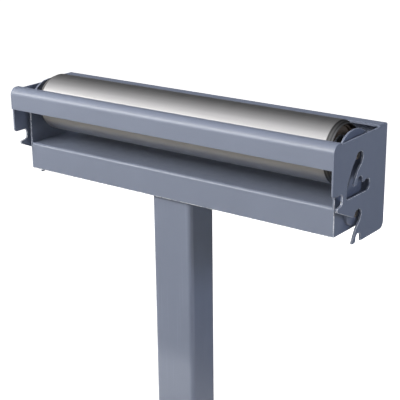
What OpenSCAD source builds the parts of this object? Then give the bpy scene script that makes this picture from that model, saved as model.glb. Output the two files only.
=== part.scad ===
// Roller stand: a height-set mast carries a steel work roller in a folded beam.
// A loose guard frame hangs on the roller's axle ends and can be lifted above the roller.
// Millimetres, +Z up, origin on the floor under the mast's middle, roller along X, front at -Y.

/* [Roller] */
// Outer diameter of the roller tube
roller_d = 60; // [50:1:64]
// Wall of the roller tube
roller_wall = 3; // [2:0.5:4]
// Length of the taper at each end of the roller tube
taper_len = 5.5; // [2:0.5:8]
// Gap between the left cheek and the roller
left_end_gap = 12; // [8:0.5:16]
// Gap between the right cheek and the roller
right_end_gap = 5.5; // [4:0.5:16]
// Diameter of the roller's axle
axle_d = 12; // [10:1:14]
// Diameter of the axle ends and lower pins that carry the guard frame
pin_d = 8; // [6:0.5:8]
// Outer diameter of the ball bearings
bearing_d = 32; // [30:1:36]
// Width of the ball bearings
bearing_w = 10; // [9:1:14]

/* [Head] */
// Height of the beam's underside at rest
head_z = 700; // [620:1:720]
// Length of the beam over its cheeks
beam_len = 384; // [300:1:460]
// Depth of the beam, front to back
beam_d = 65; // [60:1:70]
// Height of the beam
beam_h = 29; // [27:1:32]
// Sheet thickness of the beam and cheeks
sheet_t = 2; // [1.5:0.5:3]
// How far the beam's front face lies ahead of the mast's middle
beam_front = 24.6; // [22:0.1:30]
// Height of the roller's axis above the beam's underside
axle_rise = 72.3; // [70:0.1:76]
// How far the roller's axis lies behind the mast's middle
axle_back = 4.4; // [0:0.1:6]
// Height of the cheeks above the roller's axis
cheek_rise = 22.7; // [20:0.1:26]

/* [Guard frame] */
// Sheet thickness of the guard frame
frame_t = 2; // [1.5:0.5:3]
// Roller axis to the frame's front face
frame_front = 46.8; // [44:0.1:54]
// Roller axis to the frame's rear face
frame_rear = 50; // [49:0.1:58]
// Height of the frame's front top edge above the roller's axis
frame_rise = 19.7; // [17:0.1:22]
// Height of the frame's rear top edge above the roller's axis
rear_rise = 20.8; // [17:0.1:25]
// Depth of the frame's end plates below the roller's axis
frame_drop = 83.4; // [80:0.1:88]
// Height of a rail's upright face
rail_face_h = 23.3; // [18:0.1:24]
// Width of the front rail's top flange
front_top_w = 12; // [10:0.5:14]
// Width of the rear rail's top flange
rear_top_w = 15; // [10:0.5:16]
// Outside radius of the front rail's bend
front_bend_r = 8; // [4:0.5:9]
// Outside radius of the rear rail's bend
rear_bend_r = 3; // [3:0.5:6]
// Gap between the left cheek and the frame's left plate
left_gap = 5; // [4:0.5:8]
// Gap between the right cheek and the frame's right plate
right_gap = 6.5; // [4:0.5:8]
// How far the rails run past the left plate
rail_overhang = 1.5; // [0:0.5:3]

/* [Gates] */
// Height between the upper and the lower gate
gate_pitch = 55.2; // [54:0.1:58]
// Width of a gate's leg
gate_w = 11.6; // [11.2:0.1:12]
// Width of a gate's top seat
seat_w = 12; // [11:0.1:12.6]
// Width of the notch that holds the frame raised
notch_w = 9; // [8.6:0.1:9.4]

/* [Mast and column] */
// Width of the mast tube along the roller
mast_w = 50; // [40:1:54]
// Depth of the mast tube, front to back
mast_d = 40; // [34:1:44]
// Wall of the mast tube
mast_wall = 2; // [1.5:0.5:3]
// Corner radius of the mast tube
mast_r = 5; // [3:0.5:6]
// Length of mast inside the column at rest
mast_in = 298; // [200:1:340]
// Wall of the column tube
column_wall = 2; // [1.5:0.5:3]
// Gap between the mast and the column's inside, each side
column_gap = 0.5; // [0.4:0.1:1]
// Height of the column tube
column_h = 400; // [350:1:420]

/* [Base] */
// Length of a foot rail, front to back
foot_len = 440; // [360:1:520]
// Distance between the foot rails' middles
foot_pitch = 360; // [300:1:460]
// Width of a foot rail
foot_w = 50; // [40:1:60]
// Height of a foot rail and of the spreader
foot_h = 30; // [25:1:40]
// Wall of the base tubes
base_wall = 2; // [1.5:0.5:3]
// Width of the spreader tube
spreader_w = 60; // [56:1:80]
// Thickness of the shoes under the foot rails
shoe_h = 12; // [11:1:20]
// Side of the square base plate
plate_w = 120; // [112:1:140]
// Thickness of the base plate
plate_t = 6; // [4:0.5:8]

/* [Clamp] */
// Diameter of the clamp screw
screw_d = 12; // [10:1:12]
// Diameter over the knob's lobes
knob_d = 60; // [50:1:70]
// Thickness of the knob
knob_t = 18; // [14:1:24]

/* [Hidden] */
run_gap = 0.05;
slide_gap = 0.3;
cut_over = 1;
curve_fn = 64;
arc_steps = 6;

// Places that follow from the driving sizes
axle_z = head_z + axle_rise;
cheek_x = beam_len / 2;
web_z = head_z + beam_h - sheet_t;
right_plate_x = cheek_x + right_gap;
left_plate_x = -cheek_x - left_gap - frame_t;
beam_y = beam_d / 2 - beam_front;
pin_recess = 1.2;
gate_clear = 0.3;

// Bearing: a deep-groove ball bearing with seven balls
ball_count = 7;
ball_share = 0.595;
ball_d = bearing_w * ball_share;
race_r = (axle_d + bearing_d) / 4;
race_clear = 0.08;
ring_share = 0.45;
ring_t = ball_d * ring_share;
cage_t = ball_d * ring_share;
cage_w = bearing_w * ring_share;
shield_t = 0.8;
shield_gap = 0.4;

// End caps: a pressed cup that holds the bearing inside the tube
cap_recess = 5;
taper_drop_share = 0.8;
cap_lip = 2;
cap_len = bearing_w + cap_lip;
left_tube_x = -cheek_x + sheet_t + left_end_gap;
right_tube_x = cheek_x - sheet_t - right_end_gap;
roller_len = right_tube_x - left_tube_x;
spacer_t = 2.5;
clip_t = 1.2;
clip_w = 3.5;
axle_stub = 2;

// Lower pins: a round boss outside each cheek and a nut inside the beam
boss_d = 24;
boss_t = 3.3;
pin_nut_af = 13;
pin_nut_t = 6.5;
pin_end = 2;

// Mast, column and collar
column_w = mast_w + 2 * column_gap + 2 * column_wall;
column_d = mast_d + 2 * column_gap + 2 * column_wall;
column_r = mast_r + column_wall;
base_top_z = shoe_h + foot_h + plate_t;
column_top_z = base_top_z + column_h;
mast_foot_z = column_top_z - mast_in;
mast_foot_t = 6;
mast_foot_plug_h = 34;
collar_wall = 3;
collar_top_t = 8;
collar_skirt_h = 20;

// Base hardware
bolt_d = 8;
bolt_clear = 0.25;
bolt_head_af = 13;
bolt_head_t = 5.5;
washer_d = 16;
washer_t = 1.6;
nut_t = 6.5;
bolt_end = 1;
bolt_x = 45;
bolt_y = 20;
gusset_t = 4;
gusset_run = 28;
gusset_h = 70;
gusset_toe = 6;
shoe_len = 60;
shoe_wall = 3;
shoe_plug = 24;
shoe_r = 4;
tube_r = 4;

// Clamp
boss_out = 22;
clamp_boss_d = 28;
clamp_drop = 38;
clamp_z = column_top_z - clamp_drop;
pad_len = 8;
pad_socket = 3;
pad_travel = 1.75;
nose_d = 6;
knob_gap = 3;
knob_hub_d = 30;
knob_lobe_dip = 12;
knob_lobes = 5;
knob_nose = 8;

coat = [0.47, 0.50, 0.58];
steel = [0.75, 0.75, 0.73];
zinc = [0.80, 0.81, 0.82];
plastic = [0.10, 0.10, 0.11];
brass = [0.78, 0.62, 0.30];

// Outline helpers: a corner [x, y, radius] becomes an arc tangent to its two sides,
// and a corner with no radius, or that hardly turns, stays a point
least_turn = 3;
function unit2(v) = v / norm(v);
function xy(p) = [p[0], p[1]];
function turn_at(before, at, after) = acos(unit2(xy(at) - xy(before)) * unit2(xy(after) - xy(at)));
function corner_arc(before, at, after) =
    let (a = unit2(xy(before) - xy(at)), b = unit2(xy(after) - xy(at)))
    let (half = acos(a * b) / 2, reach = at[2] / tan(half))
    let (middle = xy(at) + unit2(a + b) * at[2] / sin(half))
    let (from = xy(at) + a * reach - middle, to = xy(at) + b * reach - middle)
    let (start = atan2(from[1], from[0]), turn = atan2(to[1], to[0]) - start)
    let (sweep = turn > 180 ? turn - 360 : turn < -180 ? turn + 360 : turn)
    [for (i = [0 : arc_steps])
        middle + at[2] * [cos(start + sweep * i / arc_steps), sin(start + sweep * i / arc_steps)]];
function rounded(points) =
    [for (i = [0 : len(points) - 1])
        let (before = points[(i + len(points) - 1) % len(points)])
        let (after = points[(i + 1) % len(points)])
        each points[i][2] == 0 || turn_at(before, points[i], after) < least_turn
            ? [xy(points[i])] : corner_arc(before, points[i], after)];

// A square bar along Z with rounded edges, standing on z = 0
module square_bar(w, d, h, r) {
    linear_extrude(height = h)
        polygon(rounded([[-w / 2, -d / 2, r], [w / 2, -d / 2, r], [w / 2, d / 2, r], [-w / 2, d / 2, r]]));
}

// A square tube along Z; the bore runs right through
module square_tube(w, d, h, wall, r) {
    difference() {
        square_bar(w, d, h, r);
        translate([0, 0, -cut_over])
            square_bar(w - 2 * wall, d - 2 * wall, h + 2 * cut_over, r - wall);
    }
}

// A cylinder along +X or +Y from the origin
module rod_x(d, h) {
    rotate([0, 90, 0]) cylinder(d = d, h = h, $fn = curve_fn);
}
module taper_x(d_near, d_far, h) {
    rotate([0, 90, 0]) cylinder(d1 = d_near, d2 = d_far, h = h, $fn = curve_fn);
}
module rod_y(d, h) {
    rotate([-90, 0, 0]) cylinder(d = d, h = h, $fn = curve_fn);
}
module hex_z(af, h) {
    cylinder(d = af / cos(30), h = h, $fn = 6);
}

// A plate in the YZ plane, from x to x + t, measured from the roller's axis
module end_sheet(x, t, points) {
    translate([x, axle_back, axle_z])
        rotate([90, 0, 90])
            linear_extrude(height = t)
                polygon(rounded(points));
}

// The line of a gate's leg, from the top seat down, in [back, up] from the seated pin
seat_at = [0, pin_d / 2 + gate_clear - seat_w / 2];
leg_shares = [[-0.22, -0.41], [-0.69, -0.91], [-0.97, -1.37], [-1.24, -1.82], [-1.43, -2.22], [-1.44, -2.64]];
leg_line = [for (s = leg_shares) s * gate_w];
leg = concat([seat_at], leg_line);
leg_last = len(leg) - 1;
leg_blend_r = 7;
function across(i) =
    let (run = unit2(leg[min(i + 1, leg_last)] - leg[max(i - 1, 0)]))
    [run[1], -run[0]];
function leg_side(i, side) =
    let (p = leg[i] + side * across(i) * gate_w / 2)
    [p[0], p[1], i == 1 ? 0 : leg_blend_r];

// The hall at the leg's foot, with the notch and the hook seat that open upwards from it
hall_top = -26.4;
hall_low = -36.6;
hall_corner_r = 2;
notch_back = 1.4;
notch_top = -19.5;
hook_front = 10.2;
hook_back = 19.8;
hook_top = -25.2;
hook_seat_r = 4.6;
lip_r = 1;
tongue_r = 2.5;
prong_end = -27.6;
shoulder_back = 4;
shoulder_up = -7.2;
shoulder_r = 4;
seat_r_share = 0.48;
closed_foot = [
    [leg[leg_last][0] - gate_w / 2, hall_low, hall_corner_r],
    [hook_back, hall_low, hook_seat_r],
    [hook_back, hook_top, hook_seat_r],
    [hook_front, hook_top, lip_r / 2],
    [hook_front, hall_top, lip_r / 2],
    [notch_back + notch_w / 2, hall_top, lip_r]];
open_foot = [
    [leg[leg_last][0] - gate_w / 2, hall_low, 0],
    [notch_back + notch_w / 2, hall_low, 0]];
function gate_line(foot, tongue_end) = concat(
    [[-seat_w / 2, seat_at[1] + seat_w / 2, seat_w * seat_r_share]],
    [for (i = [1 : leg_last]) leg_side(i, 1)],
    foot,
    [[notch_back + notch_w / 2, notch_top, notch_w * seat_r_share],
     [notch_back - notch_w / 2, notch_top, notch_w * seat_r_share],
     [notch_back - notch_w / 2, tongue_end, tongue_r],
     [leg_side(leg_last - 1, -1)[0], tongue_end, tongue_r / 2]],
    [for (i = [leg_last - 3 : -1 : 2]) leg_side(i, -1)],
    [[shoulder_back, shoulder_up, shoulder_r],
     [seat_w / 2, seat_at[1], 0],
     [seat_w / 2, seat_at[1] + seat_w / 2, seat_w * seat_r_share]]);

module gate(x, t, drop, outline) {
    translate([x - cut_over, axle_back, axle_z - drop])
        rotate([90, 0, 90])
            linear_extrude(height = t + 2 * cut_over)
                polygon(rounded(outline));
}

// Outline of an end plate: rail seats at the top corners, hooked notch at the front,
// slanted lower edge and the curved prong of the open lower gate
tab_drop = 28.5;
tab_r = 3;
hook_in_back = 29.4;
hook_in_drop = 39.2;
hook_r = 3.4;
hook_tip_back = 38.9;
hook_tip_drop = 40.6;
hook_end_back = 38.3;
hook_end_drop = 43.9;
slant_drop = 49.7;
slant_back = 24.9;
slant_end_drop = 57.4;
slant_end_back = 7.2;
rear_r = 7;
front_inner_r = front_bend_r - frame_t;
rear_inner_r = rear_bend_r - frame_t;

front_low = frame_rise - rail_face_h;
front_under = frame_rise - frame_t;
rear_low = rear_rise - rail_face_h;
rear_under = rear_rise - frame_t;
plate_line = concat(
    [[-frame_front, front_low, 0],
     [-frame_front, -tab_drop, tab_r],
     [-hook_in_back, -tab_drop, hook_r],
     [-hook_in_back, -hook_in_drop, hook_r],
     [-hook_tip_back, -hook_tip_drop, tab_r / 3],
     [-hook_end_back, -hook_end_drop, tab_r / 3],
     [-slant_back, -slant_drop, 0],
     [-slant_end_back, -slant_end_drop, 0]],
    [for (i = [1 : leg_last - 1]) [leg[i][0], leg[i][1] - gate_pitch, 0]],
    [[leg[leg_last - 1][0], -frame_drop, 0],
     [frame_rear, -frame_drop, rear_r],
     [frame_rear, rear_low, 0],
     [frame_rear - frame_t, rear_low, 0],
     [frame_rear - frame_t, rear_under, rear_inner_r],
     [frame_t - frame_front, front_under, front_inner_r],
     [frame_t - frame_front, front_low, 0]]);

module side_plate(x) {
    difference() {
        end_sheet(x, frame_t, plate_line);
        gate(x, frame_t, 0, gate_line(closed_foot, hall_top));
        gate(x, frame_t, gate_pitch, gate_line(open_foot, prong_end));
    }
}

// A rail: an angle with its bend at the top outer edge; side is -1 at the front and 1 at the back
module rail(side) {
    edge = side < 0 ? frame_front : frame_rear;
    top_w = side < 0 ? front_top_w : rear_top_w;
    bend_r = side < 0 ? front_bend_r : rear_bend_r;
    x0 = left_plate_x - rail_overhang;
    run = right_plate_x + frame_t - x0;
    rise = side < 0 ? frame_rise : rear_rise;
    translate([x0, axle_back, axle_z + rise])
        rotate([90, 0, 90])
            linear_extrude(height = run)
                polygon(rounded([
                    [side * edge, -rail_face_h, 0],
                    [side * edge, 0, bend_r],
                    [side * (edge - top_w), 0, 0],
                    [side * (edge - top_w), -frame_t, 0],
                    [side * (edge - frame_t), -frame_t, bend_r - frame_t],
                    [side * (edge - frame_t), -rail_face_h, 0]]));
}

// Guard frame
module front_rail() {
    color(coat) rail(-1);
}
module rear_rail() {
    color(coat) rail(1);
}
module left_side_plate() {
    color(coat) side_plate(left_plate_x);
}
module right_side_plate() {
    color(coat) side_plate(right_plate_x);
}

// Head
beam_bend_r = 3;
cheek_round_share = 0.49;
module lower_beam() {
    half = beam_d / 2;
    color(coat)
        translate([-cheek_x + sheet_t, beam_y, head_z])
            rotate([90, 0, 90])
                linear_extrude(height = beam_len - 2 * sheet_t)
                    polygon(rounded([
                        [-half, 0, 0], [-half, beam_h, beam_bend_r], [half, beam_h, beam_bend_r], [half, 0, 0],
                        [half - sheet_t, 0, 0], [half - sheet_t, beam_h - sheet_t, beam_bend_r - sheet_t],
                        [sheet_t - half, beam_h - sheet_t, beam_bend_r - sheet_t], [sheet_t - half, 0, 0]]));
}

module cheek(x) {
    near = -beam_front - axle_back;
    far = near + beam_d;
    round_r = beam_d * cheek_round_share;
    difference() {
        end_sheet(x, sheet_t, [
            [near, -axle_rise, 0], [far, -axle_rise, 0],
            [far, cheek_rise, round_r], [near, cheek_rise, round_r]]);
        translate([x - cut_over, axle_back, axle_z])
            rod_x(axle_d, sheet_t + 2 * cut_over);
        translate([x - cut_over, axle_back, axle_z - gate_pitch])
            rod_x(pin_d, sheet_t + 2 * cut_over);
    }
}
module left_cheek() {
    color(coat) cheek(-cheek_x);
}
module right_cheek() {
    color(coat) cheek(cheek_x - sheet_t);
}

module roller_axle() {
    tip_left = left_plate_x + pin_recess;
    tip_right = right_plate_x + frame_t - pin_recess;
    color(zinc)
        translate([0, axle_back, axle_z]) {
            translate([-cheek_x - axle_stub, 0, 0]) rod_x(axle_d, beam_len + 2 * axle_stub);
            translate([tip_left, 0, 0]) rod_x(pin_d, tip_right - tip_left);
        }
}

module axle_clips() {
    color(zinc)
        for (x = [-cheek_x - clip_t, cheek_x])
            translate([x, axle_back, axle_z])
                difference() {
                    rod_x(axle_d + 2 * clip_w, clip_t);
                    translate([-cut_over, 0, 0]) rod_x(axle_d, clip_t + 2 * cut_over);
                }
}

// Ball bearings, one at each end of the tube, flush with the end caps' inner lips
bearing_xs = [left_tube_x + cap_recess, right_tube_x - cap_recess - bearing_w];
module ring(x, outer, inner, w) {
    translate([x, axle_back, axle_z])
        difference() {
            rod_x(outer, w);
            if (inner > 0)
                translate([-cut_over, 0, 0]) rod_x(inner, w + 2 * cut_over);
        }
}
module race_groove(x) {
    translate([x + bearing_w / 2, axle_back, axle_z])
        rotate([0, 90, 0])
            rotate_extrude($fn = curve_fn)
                translate([race_r, 0]) circle(d = ball_d + 2 * race_clear, $fn = curve_fn);
}
module bearing_inner_rings() {
    color(steel)
        for (x = bearing_xs)
            difference() {
                ring(x, axle_d + 2 * ring_t, axle_d, bearing_w);
                race_groove(x);
            }
}
module bearing_outer_rings() {
    color(steel)
        for (x = bearing_xs)
            difference() {
                ring(x, bearing_d, bearing_d - 2 * ring_t, bearing_w);
                race_groove(x);
            }
}
module bearing_cages() {
    color(steel)
        for (x = bearing_xs) {
            ring(x + (bearing_w - cage_w) / 2, 2 * race_r + cage_t, 2 * race_r - cage_t, cage_w);
            for (i = [0 : ball_count - 1])
                translate([x + bearing_w / 2, axle_back, axle_z])
                    rotate([360 * i / ball_count, 0, 0])
                        translate([0, 0, race_r]) sphere(d = ball_d, $fn = curve_fn);
        }
}
module bearing_shields() {
    color(plastic)
        for (x = bearing_xs, end = [0, bearing_w - shield_t])
            ring(x + end, bearing_d - 2 * ring_t, axle_d + 2 * ring_t + 2 * shield_gap, shield_t);
}
module axle_spacers() {
    left_x = -cheek_x + sheet_t;
    right_x = bearing_xs[1] + bearing_w;
    color(zinc) {
        ring(left_x, axle_d + 2 * spacer_t, axle_d, bearing_xs[0] - left_x);
        ring(right_x, axle_d + 2 * spacer_t, axle_d, cheek_x - sheet_t - right_x);
    }
}

module lower_pin(side) {
    reach = (side < 0 ? left_gap : right_gap) + frame_t - pin_recess;
    inner = sheet_t + pin_nut_t + pin_end;
    translate([side * cheek_x, axle_back, axle_z - gate_pitch])
        rotate([0, side * 90, 0]) {
            cylinder(d = boss_d, h = boss_t, $fn = curve_fn);
            translate([0, 0, -inner]) cylinder(d = pin_d, h = inner + reach, $fn = curve_fn);
        }
}
module lower_pins() {
    color(coat)
        for (side = [-1, 1]) lower_pin(side);
}
module lower_pin_nuts() {
    color(zinc)
        for (side = [-1, 1])
            translate([side * (cheek_x - sheet_t), axle_back, axle_z - gate_pitch])
                rotate([0, -side * 90, 0])
                    difference() {
                        hex_z(pin_nut_af, pin_nut_t);
                        translate([0, 0, -cut_over])
                            cylinder(d = pin_d, h = pin_nut_t + 2 * cut_over, $fn = curve_fn);
                    }
}

// Roller
module roller_tube() {
    end_d = roller_d - 2 * roller_wall * taper_drop_share;
    color(steel)
        translate([left_tube_x, axle_back, axle_z])
            difference() {
                union() {
                    translate([taper_len, 0, 0]) rod_x(roller_d, roller_len - 2 * taper_len);
                    taper_x(end_d, roller_d, taper_len);
                    translate([roller_len - taper_len, 0, 0]) taper_x(roller_d, end_d, taper_len);
                }
                translate([-cut_over, 0, 0]) rod_x(roller_d - 2 * roller_wall, roller_len + 2 * cut_over);
            }
}
// A cap's cup is open towards the tube's end, and its lip holds the bearing from inside
module end_cap(x, bearing_x, open_to) {
    difference() {
        ring(x, roller_d - 2 * roller_wall, bearing_d - 2 * ring_t, cap_len);
        ring(min(bearing_x, bearing_x + open_to), bearing_d, 0, bearing_w + cut_over);
    }
}
module left_end_cap() {
    color(plastic) end_cap(bearing_xs[0], bearing_xs[0], -cut_over);
}
module right_end_cap() {
    color(plastic) end_cap(bearing_xs[1] - cap_lip, bearing_xs[1], 0);
}

// Mast
module mast_tube() {
    color(coat)
        translate([0, 0, mast_foot_z + mast_foot_t])
            square_tube(mast_w, mast_d, web_z - mast_foot_z - mast_foot_t, mast_wall, mast_r);
}
module mast_foot() {
    grow = 2 * (column_gap - slide_gap);
    color(plastic)
        translate([0, 0, mast_foot_z]) {
            square_bar(mast_w + grow, mast_d + grow, mast_foot_t, mast_r);
            square_bar(mast_w - 2 * mast_wall, mast_d - 2 * mast_wall, mast_foot_t + mast_foot_plug_h,
                mast_r - mast_wall);
        }
}

// Column
module column_tube() {
    color(coat)
        difference() {
            translate([0, 0, base_top_z])
                square_tube(column_w, column_d, column_h, column_wall, column_r);
            translate([0, -column_d / 2 - cut_over, clamp_z])
                rod_y(screw_d + 2 * run_gap, column_wall + 2 * cut_over);
        }
}
module column_gussets() {
    color(coat)
        for (turn = [0 : 90 : 270])
            rotate([0, 0, turn])
                translate([(turn % 180 == 0 ? column_w : column_d) / 2, gusset_t / 2, base_top_z])
                    rotate([90, 0, 0])
                        linear_extrude(height = gusset_t)
                            polygon([[0, 0], [gusset_run, 0], [gusset_run, gusset_toe], [gusset_toe, gusset_h], [0, gusset_h]]);
}
module column_collar() {
    grow = 2 * collar_wall;
    play = 2 * slide_gap;
    color(plastic)
        difference() {
            translate([0, 0, column_top_z - collar_skirt_h])
                square_bar(column_w + grow, column_d + grow, collar_skirt_h + collar_top_t, column_r + collar_wall);
            translate([0, 0, column_top_z - collar_skirt_h - cut_over])
                square_bar(column_w, column_d, collar_skirt_h + cut_over, column_r);
            translate([0, 0, column_top_z - cut_over])
                square_bar(mast_w + play, mast_d + play, collar_top_t + 2 * cut_over, mast_r + slide_gap);
        }
}

// Clamp on the front of the column
boss_y = -column_d / 2 - boss_out;
pad_y = -mast_d / 2 - slide_gap;
screw_tip_y = pad_y - pad_len - pad_travel - slide_gap;
module clamp_boss() {
    color(coat)
        translate([0, boss_y, clamp_z])
            difference() {
                rod_y(clamp_boss_d, boss_out);
                translate([0, -cut_over, 0]) rod_y(screw_d + 2 * run_gap, boss_out + 2 * cut_over);
            }
}
module clamp_pad() {
    color(brass)
        translate([0, pad_y - pad_len, clamp_z])
            difference() {
                rod_y(screw_d - 2 * run_gap, pad_len);
                translate([0, -cut_over, 0]) rod_y(nose_d + 2 * slide_gap, pad_socket + cut_over);
            }
}
knob_y = boss_y - knob_gap - knob_nose;
module clamp_screw() {
    color(zinc)
        translate([0, knob_y, clamp_z]) {
            rod_y(screw_d, screw_tip_y - knob_y);
            rod_y(nose_d, screw_tip_y + pad_socket - knob_y);
        }
}
knob_steps = 12;
knob_points = [
    for (i = [0 : knob_lobes * knob_steps - 1])
        let (a = 360 * i / (knob_lobes * knob_steps))
        let (r = (knob_d - knob_lobe_dip) / 2 + knob_lobe_dip / 2 * cos(knob_lobes * a))
        [r * sin(a), r * cos(a)]];
module clamp_knob() {
    color(plastic)
        translate([0, knob_y - knob_t, clamp_z])
            difference() {
                union() {
                    rotate([-90, 0, 0]) linear_extrude(height = knob_t) polygon(knob_points);
                    translate([0, knob_t / 2, 0]) rod_y(knob_hub_d, knob_t / 2 + knob_nose);
                }
                translate([0, knob_t, 0]) rod_y(screw_d, knob_nose + cut_over);
            }
}

// Base
module base_spreader() {
    run = foot_pitch - foot_w;
    color(coat)
        difference() {
            translate([-run / 2, 0, shoe_h + foot_h / 2])
                rotate([90, 0, 90])
                    square_tube(spreader_w, foot_h, run, base_wall, tube_r);
            bolt_holes(shoe_h - cut_over, foot_h + 2 * cut_over);
        }
}
module foot_rail(side) {
    translate([side * foot_pitch / 2, foot_len / 2, shoe_h + foot_h / 2])
        rotate([90, 0, 0])
            square_tube(foot_w, foot_h, foot_len, base_wall, tube_r);
}
module left_foot_rail() {
    color(coat) foot_rail(-1);
}
module right_foot_rail() {
    color(coat) foot_rail(1);
}
module bolt_places() {
    for (sx = [-1, 1], sy = [-1, 1])
        translate([sx * bolt_x, sy * bolt_y, 0]) children();
}
module bolt_holes(z, h) {
    bolt_places() translate([0, 0, z]) cylinder(d = bolt_d + 2 * bolt_clear, h = h, $fn = curve_fn);
}
module base_plate() {
    color(coat)
        difference() {
            translate([0, 0, shoe_h + foot_h]) square_bar(plate_w, plate_w, plate_t, tube_r);
            bolt_holes(shoe_h + foot_h - cut_over, plate_t + 2 * cut_over);
        }
}
module base_washers() {
    color(zinc)
        bolt_places()
            translate([0, 0, base_top_z])
                difference() {
                    cylinder(d = washer_d, h = washer_t, $fn = curve_fn);
                    translate([0, 0, -cut_over]) cylinder(d = bolt_d, h = washer_t + 2 * cut_over, $fn = curve_fn);
                }
}
module base_bolts() {
    color(zinc)
        bolt_places() {
            translate([0, 0, base_top_z + washer_t]) hex_z(bolt_head_af, bolt_head_t);
            translate([0, 0, shoe_h - nut_t - bolt_end])
                cylinder(d = bolt_d, h = base_top_z + washer_t - shoe_h + nut_t + bolt_end, $fn = curve_fn);
        }
}
module base_nuts() {
    color(zinc)
        bolt_places()
            translate([0, 0, shoe_h - nut_t])
                difference() {
                    hex_z(bolt_head_af, nut_t);
                    translate([0, 0, -cut_over]) cylinder(d = bolt_d, h = nut_t + 2 * cut_over, $fn = curve_fn);
                }
}
module shoe() {
    outer = foot_w + 2 * shoe_wall;
    inner_w = foot_w - 2 * base_wall;
    inner_h = foot_h - 2 * base_wall;
    // pad under the tube, with a turned-up end wall
    translate([0, shoe_len / 2 - shoe_wall, 0]) square_bar(outer, shoe_len, shoe_h, shoe_r);
    translate([-outer / 2, -shoe_wall, shoe_h / 2])
        cube([outer, shoe_wall, foot_h + shoe_h / 2 + shoe_wall]);
    // plug inside the tube's end
    translate([0, 0, shoe_h + foot_h / 2])
        rotate([-90, 0, 0])
            square_bar(inner_w, inner_h, shoe_plug, tube_r - base_wall);
}
module foot_shoes() {
    color(plastic)
        for (sx = [-1, 1], sy = [0, 180])
            translate([sx * foot_pitch / 2, 0, 0])
                rotate([0, 0, sy])
                    translate([0, -foot_len / 2, 0]) shoe();
}

base_spreader();
left_foot_rail();
right_foot_rail();
foot_shoes();
base_plate();
base_bolts();
base_washers();
base_nuts();
column_tube();
column_gussets();
column_collar();
clamp_boss();
clamp_screw();
clamp_knob();
clamp_pad();
mast_tube();
mast_foot();
lower_beam();
left_cheek();
right_cheek();
roller_axle();
axle_clips();
axle_spacers();
bearing_inner_rings();
lower_pins();
lower_pin_nuts();
roller_tube();
left_end_cap();
right_end_cap();
bearing_outer_rings();
bearing_shields();
bearing_cages();
front_rail();
rear_rail();
left_side_plate();
right_side_plate();
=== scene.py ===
import math

import bmesh
import bpy
from mathutils import Matrix, Vector


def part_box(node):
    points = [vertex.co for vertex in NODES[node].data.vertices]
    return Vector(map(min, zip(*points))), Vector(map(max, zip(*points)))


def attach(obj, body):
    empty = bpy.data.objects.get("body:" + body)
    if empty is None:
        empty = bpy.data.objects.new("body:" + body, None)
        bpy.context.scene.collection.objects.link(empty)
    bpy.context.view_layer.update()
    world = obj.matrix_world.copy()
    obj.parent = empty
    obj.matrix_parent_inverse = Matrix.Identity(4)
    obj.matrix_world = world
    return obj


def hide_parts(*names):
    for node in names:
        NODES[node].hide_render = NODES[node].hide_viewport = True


bl_info = {
    "name": "Roller stand",
    "version": (1, 0, 0),
    "blender": (4, 5, 0),
    "location": "View3D > Sidebar > Roller stand",
    "description": "Finishes, small parts, studio and camera for a height-set roller stand",
    "category": "Object",
}

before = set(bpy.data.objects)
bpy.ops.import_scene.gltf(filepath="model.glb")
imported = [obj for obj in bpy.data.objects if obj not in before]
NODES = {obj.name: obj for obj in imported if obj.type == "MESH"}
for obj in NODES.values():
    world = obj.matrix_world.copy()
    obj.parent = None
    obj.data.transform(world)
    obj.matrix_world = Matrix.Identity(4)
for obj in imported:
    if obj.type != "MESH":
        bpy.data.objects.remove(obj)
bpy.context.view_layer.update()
MM = 0.001


# Reading places from the frame

def low(node):
    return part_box(node)[0]


def high(node):
    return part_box(node)[1]


def middle(node):
    return (low(node) + high(node)) / 2


def linear(hex_colour):
    """An sRGB hex colour as linear red, green and blue."""
    parts = [int(hex_colour[i:i + 2], 16) / 255 for i in (1, 3, 5)]
    return tuple(p / 12.92 if p <= 0.04045 else ((p + 0.055) / 1.055) ** 2.4 for p in parts)


# Sizes, colours and levels that a user would change

def colour_setting(name, description, hex_colour):
    return bpy.props.FloatVectorProperty(
        name=name, description=description, default=linear(hex_colour),
        subtype="COLOR", size=3, min=0.0, max=1.0)


def length_setting(name, description, millimetres):
    return bpy.props.FloatProperty(
        name=name, description=description, default=millimetres * MM,
        unit="LENGTH", subtype="DISTANCE", min=0.0, precision=5)


def angle_setting(name, description, degrees):
    return bpy.props.FloatProperty(
        name=name, description=description, default=math.radians(degrees), subtype="ANGLE")


def power_setting(name, description, watts):
    return bpy.props.FloatProperty(
        name=name, description=description, default=watts, min=0.0, subtype="POWER")


def level_setting(name, description, level):
    return bpy.props.FloatProperty(name=name, description=description, default=level, min=0.0)


class StandColours(bpy.types.PropertyGroup):
    coat: colour_setting("Coat", "Powder coat of all the painted steel", "#747C90")
    # Near-white specks on the coated corners: partly rubbed wear, partly painted highlight
    rubbed: colour_setting("Rubbed coat", "Coat rubbed bright along the cut edges", "#E7EAF1")
    roller: colour_setting("Roller", "Drawn steel of the roller tube", "#C6C5C5")
    zinc: colour_setting("Zinc", "Zinc plate on bolts, nuts, clips and screw", "#C6C9CE")
    dark_steel: colour_setting("Dark steel", "Oiled steel of the axle and the lower pins", "#4C4844")
    bearing: colour_setting("Bearing", "Ground steel of the bearing rings", "#C4C4C4")
    plastic: colour_setting("Plastic", "Moulded plastic of knob, collar and mast foot", "#1D1E21")
    cap: colour_setting("Cap", "Moulded plastic of the roller's end caps", "#6A5D50")
    rubber: colour_setting("Rubber", "Moulded rubber of shoes and seals", "#191919")
    brass: colour_setting("Brass", "Turned brass of the clamp pad", "#D9B56A")


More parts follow.
